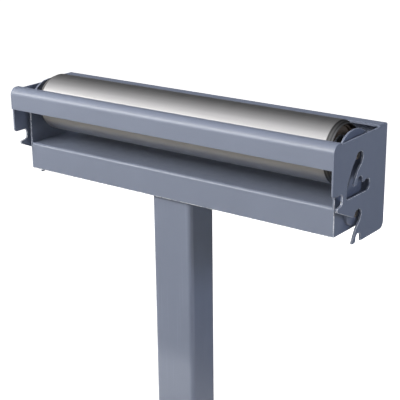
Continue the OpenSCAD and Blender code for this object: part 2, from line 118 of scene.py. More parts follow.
class StandSizes(bpy.types.PropertyGroup):
    sheet_edge: length_setting("Sheet edge", "Rounding of the coated sheet edges", 0.4)
    fold_edge: length_setting("Fold edge", "Rounding of the beam's dressed corners", 0.8)
    tube_edge: length_setting("Tube edge", "Rounding of cut tube ends", 0.3)
    foot_edge: length_setting("Foot edge", "Rounding of the mast's moulded foot", 1.0)
    collar_edge: length_setting("Collar edge", "Rounding of the moulded collar", 1.6)
    shoe_edge: length_setting("Shoe edge", "Rounding of the rubber shoes", 1.5)
    cap_edge: length_setting("Cap edge", "Rounding of the roller's end caps", 0.2)
    metal_edge: length_setting("Metal edge", "Broken edges of roller, clips and spacers", 0.35)
    washer_edge: length_setting("Washer edge", "Rounding of the stamped washers", 0.25)
    pad_edge: length_setting("Pad edge", "Broken edge of the turned brass pad", 0.4)
    ring_edge: length_setting("Ring edge", "Rounding of the bearing rings", 0.3)
    cage_edge: length_setting("Cage edge", "Rounding of the bearings' ball cages", 0.15)
    seal_edge: length_setting("Seal edge", "Rounding of the bearings' seals", 0.2)
    weld_width: length_setting("Weld width", "Width of a weld bead", 4.0)
    weld_step: length_setting("Weld step", "Distance between a bead's ripples", 2.4)
    thread_pitch: length_setting("Thread pitch", "Pitch of the clamp screw's thread", 1.75)
    bolt_pitch: length_setting("Bolt pitch", "Pitch of the base bolts' thread", 1.25)


class StandStudio(bpy.types.PropertyGroup):
    azimuth: angle_setting("Azimuth", "Camera's angle round the stand from the front", 37.397)
    elevation: angle_setting("Elevation", "Camera's angle above the horizon", 18.551)
    roll: angle_setting("Roll", "Camera's turn about its own line of sight", -0.649)
    place: bpy.props.FloatVectorProperty(
        name="Place", description="Camera's place", default=(0.6545, -0.8275, 1.0463),
        subtype="XYZ", unit="LENGTH", size=3)
    lens: bpy.props.FloatProperty(
        name="Lens", description="Focal length on a 36 mm sensor",
        default=97.66, min=1.0, subtype="DISTANCE_CAMERA")
    sky: level_setting("Sky", "Level of the light from all round", 0.2)
    key: power_setting("Key lamp", "Power of the large lamp at the front left", 51.0)
    side: power_setting("Side lamp", "Power of the cool lamp on the right", 12.65)
    rear: power_setting("Rear lamp", "Power of the level lamp behind the stand", 16.0)
    top: power_setting("Top lamp", "Power of the soft lamp overhead", 11.0)
    sheet: level_setting("Bright sheet", "Level of the sheet that gives the highlights", 6.6)


# Materials

def add_node(tree, kind, feeds=None, **settings):
    """Adds one node; feeds maps a socket to a value or to the output that feeds it."""
    node = tree.nodes.new(kind)
    for name, value in settings.items():
        setattr(node, name, value)
    for socket, value in (feeds or {}).items():
        if isinstance(value, bpy.types.NodeSocket):
            tree.links.new(value, node.inputs[socket])
        else:
            node.inputs[socket].default_value = value
    return node


def start_material(name, **sockets):
    """A material with its shader's own sockets set, and its object coordinates."""
    material = bpy.data.materials.new(name)
    material.use_nodes = True
    tree = material.node_tree
    shader = tree.nodes["Principled BSDF"]
    for socket, value in sockets.items():
        shader.inputs[socket].default_value = value
    place = add_node(tree, "ShaderNodeTexCoord").outputs["Object"]
    return material, tree, shader, place


def tint(colour, share=1.0):
    """A share of a colour, held to white, with the fourth value that a socket takes."""
    return tuple(min(c * share, 1) for c in colour) + (1,)


def grain(tree, place, size, detail, stretch=(1, 1, 1), levels=None, span=(0.3, 0.7)):
    """Noise with this grain in millimetres, drawn out along each axis by stretch.

    Where levels are given, it runs from the first to the second over the noise's span.
    """
    laid = add_node(tree, "ShaderNodeMapping", {
        "Vector": place, "Scale": tuple(1 / s for s in stretch)})
    noise = add_node(tree, "ShaderNodeTexNoise", {
        "Vector": laid.outputs[0], "Scale": 1 / (size * MM), "Detail": detail}).outputs["Fac"]
    if levels is None:
        return noise
    return add_node(tree, "ShaderNodeMapRange", {
        "Value": noise, "From Min": span[0], "From Max": span[1],
        "To Min": levels[0], "To Max": levels[1]}).outputs[0]


def patches(tree, place, colour, shares, size, detail, stretch=(1, 1, 1)):
    """A colour that drifts between two shares of itself, in patches with this grain."""
    drift = grain(tree, place, size, detail, stretch, (0, 1))
    return add_node(tree, "ShaderNodeMix", {
        "Factor": drift, "A": tint(colour, shares[0]), "B": tint(colour, shares[1])},
        data_type="RGBA").outputs["Result"]


def surface(tree, shader, tone, rough, height=None, depth=0.0):
    """Gives the shader its colour, its roughness and a relief of this depth in millimetres."""
    tree.links.new(tone, shader.inputs["Base Color"])
    tree.links.new(rough, shader.inputs["Roughness"])
    if height is not None:
        bump = add_node(tree, "ShaderNodeBump", {"Height": height, "Distance": depth * MM})
        tree.links.new(bump.outputs["Normal"], shader.inputs["Normal"])


def gloss_powder_coat(name, colour, marked=False):
    # Baked gloss powder coat: an even blue-grey with a soft sheen and a faint orange peel.
    # The peel's 1 mm waves are too fine for the render and are drawn 2.5 mm long.
    material, tree, shader, place = start_material(name, IOR=1.6)
    tone = patches(tree, place, colour, (0.96, 1.04), 70, 3)
    rough = grain(tree, place, 9, 3, levels=(0.28, 0.38))
    if marked:
        # Long light marks where the mast slides through its collar
        marks = grain(tree, place, 2.2, 3, (1, 1, 60), (0, 0.35), (0.60, 0.74))
        tone = add_node(tree, "ShaderNodeMix", {"Factor": marks, "A": tone, "B": tint(colour, 1.5)},
                        data_type="RGBA").outputs["Result"]
        rough = add_node(tree, "ShaderNodeMath", {0: rough, 1: marks}, operation="ADD").outputs[0]
    surface(tree, shader, tone, rough, grain(tree, place, 2.5, 1), 0.02)
    return material


def edge_coat(name, colour, rubbed):
    # The same coat on rounded corners, painted lighter as a highlight, with bright specks that are partly
    # rubbed wear and partly painted highlight.
    # The specks are kept to the slots and the corners below the axle, not on the frame's front and top.
    material, tree, shader, place = start_material(name, IOR=1.6)
    specks = grain(tree, place, 2.5, 3, levels=(0, 1), span=(0.38, 0.56))
    apart = add_node(tree, "ShaderNodeSeparateXYZ", {0: place}).outputs
    specks_top, specks_front = middle("roller_axle").z + 3 * MM, low("front_rail").y + 2 * MM
    fades = (("Z", specks_top, specks_top + 3 * MM, 1, 0), ("Y", specks_front, specks_front + 2 * MM, 0, 1))
    for axis, start, end, first, last in fades:
        mask = add_node(tree, "ShaderNodeMapRange", {
            "Value": apart[axis], "From Min": start, "From Max": end,
            "To Min": first, "To Max": last}).outputs[0]
        specks = add_node(tree, "ShaderNodeMath", {0: specks, 1: mask}, operation="MULTIPLY").outputs[0]
    # Painted highlight: the corners are lighter than the coat and nearly white in the specks
    tone = add_node(tree, "ShaderNodeMix", {
        "Factor": specks, "A": tint(colour, 1.15), "B": tint(rubbed)},
        data_type="RGBA").outputs["Result"]
    # The specks are smoother than the coat round them
    rough = add_node(tree, "ShaderNodeMapRange", {
        "Value": specks, "From Min": 0.3, "From Max": 0.7, "To Min": 0.34, "To Max": 0.24}).outputs[0]
    surface(tree, shader, tone, rough)
    return material


def drawn_steel(name, colour):
    # Cold-drawn steel tube, skimmed on a lathe: a warm satin grey with faint rings.
    # The 0.3 mm feed marks are too fine for the render and are drawn 1.2 mm wide.
    material, tree, shader, place = start_material(name, Metallic=1.0)
    feed, rings = 1.2, (1, 400, 400)
    rolled = patches(tree, place, colour, (0.95, 1.03), 5, 3, (30, 1, 1))
    # The last 5.4 mm at each end is painted at 13 to 32 % of the roller's colour, far darker than the
    # rolled length
    dark_ends = patches(tree, place, colour, (0.13, 0.32), feed, 2, rings)
    taper, fade = 5.4 * MM, 0.2 * MM
    edge = (high("roller_tube").x - low("roller_tube").x) / 2 - taper
    along = add_node(tree, "ShaderNodeSeparateXYZ", {0: place}).outputs["X"]
    off = add_node(tree, "ShaderNodeMath", {0: along, 1: middle("roller_tube").x},
                   operation="SUBTRACT").outputs[0]
    out = add_node(tree, "ShaderNodeMath", {0: off}, operation="ABSOLUTE").outputs[0]
    band = add_node(tree, "ShaderNodeMapRange", {
        "Value": out, "From Min": edge - fade, "From Max": edge + fade}).outputs[0]
    tone = add_node(tree, "ShaderNodeMix", {"Factor": band, "A": rolled, "B": dark_ends},
                    data_type="RGBA").outputs["Result"]
    rough = grain(tree, place, feed, 2, rings, (0.34, 0.42))
    surface(tree, shader, tone, rough, grain(tree, place, feed, 2, rings), 0.006)
    return material


def oiled_steel(name, colour):
    # Hot-finished round bar, oiled: a brownish dark metal with cloudy patches.
    material, tree, shader, place = start_material(name, Metallic=1.0)
    tone = patches(tree, place, colour, (0.7, 1.1), 4, 3)
    surface(tree, shader, tone, grain(tree, place, 2, 2, levels=(0.22, 0.34)))
    return material


def bright_zinc(name, colour):
    # Electroplated zinc, clear passivated: bright grey metal with cloudy cool patches.
    material, tree, shader, place = start_material(name, Metallic=1.0)
    tone = patches(tree, place, colour, (0.86, 1.05), 6, 3)
    surface(tree, shader, tone, grain(tree, place, 2, 2, levels=(0.22, 0.38)))
    return material


def ground_steel(name, colour):
    # Hardened and ground bearing steel: bright, with hair lines round the axis.
    material, tree, shader, place = start_material(name, Metallic=1.0)
    tone = patches(tree, place, colour, (0.93, 1.0), 8, 2)
    surface(tree, shader, tone, grain(tree, place, 0.6, 1, (1, 200, 200), (0.12, 0.24)))
    return material


def moulded_plastic(name, colour):
    # Glass-filled nylon from a spark-eroded mould: near black, satin, fine-grained.
    # The 0.3 mm mould grain is drawn 0.9 mm wide so that it shows.
    material, tree, shader, place = start_material(name, IOR=1.53)
    tone = patches(tree, place, colour, (0.85, 1.2), 18, 2)
    rough = grain(tree, place, 3, 2, levels=(0.42, 0.55))
    surface(tree, shader, tone, rough, grain(tree, place, 0.9, 2), 0.03)
    return material


def moulded_rubber(name, colour):
    # Moulded nitrile rubber: dull black with a chalky bloom and a soft grain.
    material, tree, shader, place = start_material(name, IOR=1.52)
    tone = patches(tree, place, colour, (0.8, 1.7), 14, 4)
    rough = grain(tree, place, 4, 2, levels=(0.62, 0.8))
    surface(tree, shader, tone, rough, grain(tree, place, 1.1, 3), 0.05)
    return material


def turned_brass(name, colour):
    # Free-cutting brass from the lathe: yellow, with fine rings round its axis.
    material, tree, shader, place = start_material(name, Metallic=1.0)
    feed, rings = 0.8, (200, 1, 200)
    tone = patches(tree, place, colour, (0.88, 1.0), feed, 1, rings)
    surface(tree, shader, tone, grain(tree, place, feed, 1, rings, (0.22, 0.36)))
    return material


def finish_of(name):
    """The material of this name, made from the scene's colours the first time."""
    made = bpy.data.materials.get(name)
    if made is not None:
        return made
    colours = bpy.context.scene.stand_colours
    makers = {
        "gloss_powder_coat": (gloss_powder_coat, colours.coat),
        "rubbed_powder_coat": (gloss_powder_coat, colours.coat, True),
        "thin_edge_coat": (edge_coat, colours.coat, colours.rubbed),
        "drawn_roller_steel": (drawn_steel, colours.roller),
        "oiled_dark_steel": (oiled_steel, colours.dark_steel),
        "bright_zinc_plate": (bright_zinc, colours.zinc),
        "ground_bearing_steel": (ground_steel, colours.bearing),
        "moulded_black_nylon": (moulded_plastic, colours.plastic),
        "moulded_brown_cap": (moulded_plastic, colours.cap),
        "moulded_rubber": (moulded_rubber, colours.rubber),
        "turned_brass": (turned_brass, colours.brass),
    }
    maker, *values = makers[name]
    return maker(name, *values)


# Meshes

def give_finish(piece, finish):
    """Gives a piece one finish, in place of any that it has."""
    piece.data.materials.clear()
    piece.data.materials.append(finish_of(finish))


def put_on(piece, finish, body, slot, *stands_for):
    """Gives a new piece its finish and body, and hides the solids it stands for. The slot is not used."""
    give_finish(piece, finish)
    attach(piece, body)
    if stands_for:
        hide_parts(*stands_for)
    return piece


# Edges that turn by more than this are corners, and the others are bends
SHARP = math.radians(32)


def flatten(piece):
    """Merges the triangles of flat faces."""
    weld = piece.modifiers.new("Weld", "WELD")
    weld.merge_threshold = 1e-6
    flat = piece.modifiers.new("Flatten", "DECIMATE")
    flat.decimate_type = "DISSOLVE"
    flat.angle_limit = math.radians(0.5)


def round_off(piece, width, segments, limit):
    """Rounds the edges that the limit picks, with even shading on the flat faces."""
    bevel = piece.modifiers.new("Bevel", "BEVEL")
    bevel.width = width
    bevel.segments = segments
    bevel.limit_method = limit
    bevel.angle_limit = SHARP
    level = piece.modifiers.new("Weighted normals", "WEIGHTED_NORMAL")
    level.weight = 100
    level.keep_sharp = True
    return bevel


def break_edges(piece, width, segments=3):
    """Rounds a piece's sharp edges by modifiers and shades the rest smooth."""
    flatten(smooth(piece))
    round_off(piece, width, segments, "ANGLE")
    return piece


def dress(node, finish, width, segments=3):
    """A solid from the frame keeps its shape and gets a finish and rounded edges."""
    give_finish(NODES[node], finish)
    return break_edges(NODES[node], width, segments)


def mark_corners(mesh):
    """Marks outer corners for rounding, keeps inner corners sharp and shades only bends smooth."""
    shape = bmesh.new()
    shape.from_mesh(mesh)
    weight = shape.edges.layers.float.new("bevel_weight_edge")
    # Above the axle, plate and flange edges lie close together and are rounded less
    top, less, flat = high("roller_axle").z, 0.4, math.radians(1)
    for edge in shape.edges:
        turn = edge.calc_face_angle_signed(0.0)
        full = less if min(v.co.z for v in edge.verts) > top else 1.0
        edge[weight] = full if turn > SHARP else 0.0
        edge.smooth = turn > -SHARP
    for face in shape.faces:
        bends = [e for e in face.edges if flat < abs(e.calc_face_angle_signed(0.0)) < SHARP]
        face.smooth = len(bends) > 1
    shape.to_mesh(mesh)
    shape.free()


def new_object(name, data):
    """A new object in the scene with this mesh, lamp or camera."""
    piece = bpy.data.objects.new(name, data)
    bpy.context.scene.collection.objects.link(piece)
    return piece


def keep_shape(name, shape):
    """A new object made from a bmesh, which is freed."""
    mesh = bpy.data.meshes.new(name)
    shape.to_mesh(mesh)
    shape.free()
    return new_object(name, mesh)


def fused(name, nodes):
    """One surface over several solids that touch, for sheet that is welded and ground flush."""
    mesh = NODES[nodes[0]].data.copy()
    piece = new_object(name, mesh)
    piece.matrix_world = NODES[nodes[0]].matrix_world
    for node in nodes[1:]:
        add = piece.modifiers.new(node, "BOOLEAN")
        add.operation, add.solver, add.object = "UNION", "EXACT", NODES[node]
    flatten(piece)
    seen = piece.evaluated_get(bpy.context.evaluated_depsgraph_get())
    whole = bpy.data.meshes.new_from_object(seen)
    whole.transform(piece.matrix_world)
    mark_corners(whole)
    bpy.data.objects.remove(piece)
    bpy.data.meshes.remove(mesh)
    return new_object(name, whole)


def mesh_piece(name, rows, kind="capped"):
    """A surface over rows of points: a tube with capped or joined ends, or a sheet."""
    shape = bmesh.new()
    rings = [[shape.verts.new(p) for p in row] for row in rows]
    count = len(rings[0])
    span = count - 1 if kind == "sheet" else count
    for first, second in zip(rings, rings[1:] + (rings[:1] if kind == "joined" else [])):
        for i in range(span):
            j = (i + 1) % count
            shape.faces.new((first[i], first[j], second[j], second[i]))
    if kind == "capped":
        shape.faces.new(list(reversed(rings[0])))
        shape.faces.new(rings[-1])
    bmesh.ops.recalc_face_normals(shape, faces=shape.faces)
    return keep_shape(name, shape)


def join(name, pieces):
    """Several pieces as one object."""
    shape = bmesh.new()
    for piece in pieces:
        shape.from_mesh(piece.data)
        mesh = piece.data
        bpy.data.objects.remove(piece)
        bpy.data.meshes.remove(mesh)
    return keep_shape(name, shape)


# Each axis, and the two directions that an angle round it runs between

AXES = {
    "x": (Vector((1, 0, 0)), Vector((0, 1, 0)), Vector((0, 0, 1))),
    "y": (Vector((0, 1, 0)), Vector((0, 0, 1)), Vector((1, 0, 0))),
    "z": (Vector((0, 0, 1)), Vector((1, 0, 0)), Vector((0, 1, 0))),
}


def full_turn(count):
    """Angles at even steps round a circle."""
    return [2 * math.pi * i / count for i in range(count)]


def quarter_turn(steps):
    """Angles at even steps from nothing to a right angle."""
    return [math.pi / 2 * i / steps for i in range(steps + 1)]


def turned(name, profile, axis, centre, count=64, radius_at=None, ring=False):
    """A shape turned about an axis: profile holds (radius, distance along) pairs.

    radius_at(radius, angle, along) may change the radius, as a hexagon or thread does.
    A ring's profile closes on itself.
    """
    along, side, up = AXES[axis]
    rows = []
    for radius, run in profile:
        row = []
        for angle in full_turn(count):
            r = radius_at(radius, angle, run) if radius_at else radius
            row.append(centre + along * run + side * (r * math.cos(angle)) + up * (r * math.sin(angle)))
        rows.append(row)
    return mesh_piece(name, rows, "joined" if ring else "capped")


def corner_radius(flat):
    """Radius to the corners of a hexagon with this size across its flats."""
    return flat / 2 / math.cos(math.pi / 6)


def hex_radius(flat):
    """Radius of a hexagon's outline at an angle, held inside the turned radius."""
    def at(radius, angle, run):
        sector = (angle + math.pi / 6) % (math.pi / 3) - math.pi / 6
        return min(radius, flat / 2 / math.cos(sector))
    return at


def thread_radius(pitch, depth):
    """Radius of a screw thread: a V that climbs one pitch in each turn."""
    def at(radius, angle, run):
        turn = (run / pitch + angle / (2 * math.pi)) % 1
        return radius - depth * abs(2 * turn - 1)
    return at


def thread_rows(radius, start, end, pitch):
    """Profile points along a threaded length, close enough together to carry the V."""
    steps_each_turn = 8
    steps = max(2, round(abs(end - start) / pitch * steps_each_turn))
    return [(radius, start + (end - start) * i / steps) for i in range(steps + 1)]


def smooth(piece):
    """Smooth shading all over."""
    piece.data.polygons.foreach_set("use_smooth", [True] * len(piece.data.polygons))
    return piece


def smooth_by_angle(piece, degrees=28):
    """Smooth shading that keeps edges sharper than this angle."""
    smooth(piece).data.set_sharp_from_angle(angle=math.radians(degrees))
    return piece


def nut_shape(flat, bore, thick, axis, centre):
    """A hexagon nut with turned-off corners and a countersunk bore."""
    half, inner, tip = thick / 2, flat / 2, corner_radius(flat)
    sink, chamfer, face = 0.8 * MM, 0.96 * MM, 0.98
    body = turned("nut", [
        (bore, -half + sink), (bore + sink, -half), (inner * face, -half), (tip, -half + chamfer),
        (tip, half - chamfer), (inner * face, half), (bore + sink, half), (bore, half - sink)],
        axis, centre, 72, ring=True)
    # The points outside the turned-off faces are drawn in to the hexagon
    outline = hex_radius(flat)
    _, side, up = AXES[axis]
    for vertex in body.data.vertices:
        offset = vertex.co - centre
        a, b = offset.dot(side), offset.dot(up)
        radius = math.hypot(a, b)
        if radius > inner * (1 + face) / 2:
            kept = outline(radius, math.atan2(b, a) % (2 * math.pi), 0)
            vertex.co += (side * a + up * b) * (kept / radius - 1)
    return body


def weld_bead(path, closed=False):
    """A rippled bead laid along a path in a corner; an open one thins out at its ends."""
    sizes = bpy.context.scene.stand_sizes
    width, step = sizes.weld_width, sizes.weld_step
    sides, ripple, thin_end, growth = 10, 0.12, 0.35, 0.2
    points = [Vector(p) for p in path] + ([Vector(path[0])] if closed else [])
    stops = []
    for a, b in zip(points, points[1:]):
        count = max(2, round((b - a).length / (step / 4)))
        stops += [(a.lerp(b, i / count), (b - a).normalized()) for i in range(count)]
    stops.append((points[-1], (points[-1] - points[-2]).normalized()))
    rows, run = [], 0.0
    for i, (p, along) in enumerate(stops):
        if i:
            run += (p - stops[i - 1][0]).length
        side = along.orthogonal().normalized()
        up = along.cross(side)
        fade = 1.0 if closed else min(1.0, thin_end + min(i, len(stops) - 1 - i) * growth)
        r = width / 2 * fade * (1 - ripple * ((run / step) % 1))
        rows.append([p + side * (r * math.cos(t)) + up * (r * math.sin(t)) for t in full_turn(sides)])
    return smooth(mesh_piece("weld_bead", rows))


def rim(box_low, box_high, z):
    """The four corners of a box's outline at a height."""
    return [(box_low.x, box_low.y, z), (box_high.x, box_low.y, z),
            (box_high.x, box_high.y, z), (box_low.x, box_high.y, z)]


# Operators, one for each group of pieces

PAINTED = {
    "sheet": ["column_gussets", "base_plate"],
    "tube": ["column_tube", "base_spreader", "left_foot_rail", "right_foot_rail", "clamp_boss"],
}
SHELLS = {
    "head_shell": ("head", ["lower_beam", "left_cheek", "right_cheek"]),
    "guard_shell": ("guard_frame", ["front_rail", "rear_rail", "left_side_plate", "right_side_plate"]),
}


class StandPainted(bpy.types.Operator):
    """Coats the folded sheet and the tubes"""
    bl_idname = "stand.painted"
    bl_label = "Painted steel"

    def execute(self, context):
        sizes = context.scene.stand_sizes
        for name, (body, nodes) in SHELLS.items():
            width = sizes.fold_edge if body == "head" else sizes.sheet_edge
            shell = fused(name, nodes)
            put_on(shell, "gloss_powder_coat", body, "powder_coat", *nodes)
            # The rounded corners take the edge coat, painted lighter as a highlight, with rubbed specks
            shell.data.materials.append(finish_of("thin_edge_coat"))
            corner = round_off(shell, width, 3, "WEIGHT")
            # The marked edges may round past the short edges beside them
            corner.use_clamp_overlap = False
            corner.material = 1
        for node in PAINTED["sheet"]:
            dress(node, "gloss_powder_coat", sizes.sheet_edge)
        for node in PAINTED["tube"]:
            dress(node, "gloss_powder_coat", sizes.tube_edge, 2)
        dress("mast_tube", "rubbed_powder_coat", sizes.tube_edge, 2)
        dress("mast_foot", "moulded_black_nylon", sizes.foot_edge)
        return {"FINISHED"}


# Sizes of standard fasteners and sheet, which the solids' boxes don't give

M8_FLAT = 13 * MM
M8_RADIUS = 4 * MM
M12_RADIUS = 6 * MM
THREAD_SHARE = 0.6134
GUSSET_SHEET = 4 * MM


class StandWelds(bpy.types.Operator):
    """Lays the weld beads of the head, the column and the base"""
    bl_idname = "stand.welds"
    bl_label = "Weld beads"

    def execute(self, context):
        put_on(join("head_welds", self.head()), "gloss_powder_coat", "head", "powder_coat")
        base = self.column() + self.boss() + self.spreader()
        put_on(join("base_welds", base), "gloss_powder_coat", "base", "powder_coat")
        return {"FINISHED"}

    @staticmethod
    def head():
        """Beads round the mast under the beam's web and between the web and the cheeks."""
        mast_low, mast_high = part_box("mast_tube")
        beam_low, beam_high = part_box("lower_beam")
        web, reach = mast_high.z, 0.8
        sides = [[(x, beam_low.y * reach, web), (x, beam_high.y * reach, web)]
                 for x in (beam_low.x, beam_high.x)]
        return [weld_bead(rim(mast_low, mast_high, web), closed=True)] + [weld_bead(p) for p in sides]

    @staticmethod
    def column():
        """Beads round the column's foot and along both faces of each gusset."""
        col_low, col_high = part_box("column_tube")
        gusset_high, foot = high("column_gussets"), col_low.z
        beads = [weld_bead(rim(col_low, col_high, foot), closed=True)]
        for turn in range(4):
            spin = Matrix.Rotation(turn * math.pi / 2, 3, "Z")
            wall, out = (col_high.y, gusset_high.y) if turn % 2 else (col_high.x, gusset_high.x)
            for y in (-GUSSET_SHEET / 2, GUSSET_SHEET / 2):
                top, corner, end = (spin @ Vector(p) for p in (
                    (wall, y, gusset_high.z), (wall, y, foot), (out, y, foot)))
                beads += [weld_bead([top, corner]), weld_bead([corner, end])]
        return beads

    @staticmethod
    def boss():
        """The bead round the clamp boss where it meets the column."""
        boss_low, boss_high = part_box("clamp_boss")
        centre, radius, count = middle("clamp_boss"), (boss_high.x - boss_low.x) / 2, 40
        ring = [(centre.x + radius * math.cos(t), boss_high.y, centre.z + radius * math.sin(t))
                for t in full_turn(count)]
        return [weld_bead(ring, closed=True)]

    @staticmethod
    def spreader():
        """Beads up the corners and over the top where the spreader meets the foot rails."""
        box_low, box_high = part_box("base_spreader")
        clear = 4 * MM
        beads = []
        for x in (box_low.x, box_high.x):
            for y in (box_low.y, box_high.y):
                beads.append(weld_bead([(x, y, box_low.z + clear), (x, y, box_high.z - clear)]))
            beads.append(weld_bead([
                (x, box_low.y + clear, box_high.z), (x, box_high.y - clear, box_high.z)]))
        return beads


class StandRoller(bpy.types.Operator):
    """Finishes the roller tube and models its end caps"""
    bl_idname = "stand.roller"
    bl_label = "Roller"

    def execute(self, context):
        sizes = context.scene.stand_sizes
        dress("roller_tube", "drawn_roller_steel", sizes.metal_edge)
        for node, out in (("left_end_cap", -1), ("right_end_cap", 1)):
            cap = break_edges(self.cap(node, out), sizes.cap_edge, 2)
            put_on(cap, "moulded_brown_cap", "roller", "black_plastic", node)
        return {"FINISHED"}

    @staticmethod
    def cap(node, out):
        """A moulded cup that holds a bearing, with a grooved face; it faces out along X."""
        box_low, box_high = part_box(node)
        outer, deep = (box_high.z - box_low.z) / 2, (box_high.x - box_low.x) / 2
        bore = (high("bearing_outer_rings").z - low("bearing_outer_rings").z) / 2
        groove, band, soft, lip, bearing_deep = 2.5 * MM, 2.2 * MM, 0.4 * MM, 2.6 * MM, 10 * MM
        face, back = out * deep, -out * deep
        floor, seat = face - out * groove, face - out * bearing_deep
        profile = [
            (outer, back), (outer, face - out * soft), (outer - soft, face), (outer - band, face),
            (outer - band - soft, floor), (bore + band + soft, floor), (bore + band, face),
            (bore + soft, face), (bore, face - out * soft), (bore, seat), (bore - lip, seat),
            (bore - lip, back)]
        return turned(node + "_cup", profile, "x", middle(node), 96, ring=True)


class StandBearings(bpy.types.Operator):
    """Finishes the ball bearings and their seals"""
    bl_idname = "stand.bearings"
    bl_label = "Bearings"

    def execute(self, context):
        sizes = context.scene.stand_sizes
        for node in ("bearing_inner_rings", "bearing_outer_rings"):
            dress(node, "ground_bearing_steel", sizes.ring_edge, 2)
        dress("bearing_cages", "ground_bearing_steel", sizes.cage_edge, 2)
        dress("bearing_shields", "moulded_rubber", sizes.seal_edge, 2)
        return {"FINISHED"}


class StandAxle(bpy.types.Operator):
    """Models the axle, the lower pins and their nuts, and finishes clips and spacers"""
    bl_idname = "stand.axle"
    bl_label = "Axle and pins"

    nut_thick = 6.5 * MM
    thin = M8_RADIUS

    def execute(self, context):
        sizes = context.scene.stand_sizes
        for node in ("axle_clips", "axle_spacers"):
            dress(node, "bright_zinc_plate", sizes.metal_edge, 2)
        self.axle()
        self.pins()
        self.nuts()
        return {"FINISHED"}

    def crown(self, tip, side):
        """The rounded end of a thin bar, up to its tip."""
        rise, steps, flat = 1.6 * MM, 6, 0.2 * MM
        return [(max(self.thin * math.cos(t), flat), tip - side * rise * (1 - math.sin(t)))
                for t in quarter_turn(steps)]

    def axle(self):
        """The axle bar with its turned-down ends, rounded at the tips."""
        box_low, box_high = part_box("roller_axle")
        centre = Vector((0, middle("roller_axle").y, middle("roller_axle").z))
        thick, soft = (box_high.z - box_low.z) / 2, 0.5 * MM
        # The shoulders are where the solid's points leave the thick radius
        node = NODES["roller_axle"]
        places = [node.matrix_world @ v.co for v in node.data.vertices]
        wide = [p.x for p in places if math.hypot(p.y - centre.y, p.z - centre.z) > thick * 0.9]
        left, right = min(wide), max(wide)
        profile = list(reversed(self.crown(box_low.x, -1)))
        profile += [(self.thin, left), (thick - soft, left), (thick, left + soft),
                    (thick, right - soft), (thick - soft, right), (self.thin, right)]
        profile += self.crown(box_high.x, 1)
        bar = smooth_by_angle(turned("axle_bar", profile, "x", centre, 64), 30)
        put_on(bar, "oiled_dark_steel", "head", "zinc", "roller_axle")

    def pins(self):
        """The lower pins: a coated boss outside each cheek and a bare steel pin through it."""
        box_low, box_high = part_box("lower_pins")
        centre = Vector((0, middle("lower_pins").y, middle("lower_pins").z))
        boss, thick, soft, chamfer = (box_high.z - box_low.z) / 2, 3.3 * MM, 0.6 * MM, 0.18 * MM
        past_nut = 2 * MM
        inner_end = high("lower_pin_nuts").x - self.nut_thick - past_nut
        thin, bosses, bars = self.thin, [], []
        for side in (-1, 1):
            tip = (box_low if side < 0 else box_high).x
            face = (low("left_cheek") if side < 0 else high("right_cheek")).x
            out, inner = face + side * thick, side * inner_end
            bosses.append(turned("boss", [
                (thin, face), (boss, face), (boss, out - side * soft),
                (boss - chamfer, out - side * chamfer), (boss - soft, out), (thin, out)],
                "x", centre, 64, ring=True))
            bars.append(turned("bar", [(thin - soft, inner), (thin, inner + side * soft)]
                               + self.crown(tip, side), "x", centre, 48))
        put_on(smooth_by_angle(join("pin_bosses", bosses), 50),
               "gloss_powder_coat", "head", "powder_coat", "lower_pins")
        put_on(smooth_by_angle(join("pin_bars", bars), 30), "oiled_dark_steel", "head", "powder_coat")

    def nuts(self):
        """The nuts on the lower pins, inside the cheeks."""
        out, place = high("lower_pin_nuts").x - self.nut_thick / 2, middle("lower_pin_nuts")
        nuts = [nut_shape(M8_FLAT, M8_RADIUS, self.nut_thick, "x", Vector((side * out, place.y, place.z)))
                for side in (-1, 1)]
        put_on(smooth_by_angle(join("pin_nuts", nuts)), "bright_zinc_plate", "head", "zinc",
               "lower_pin_nuts")


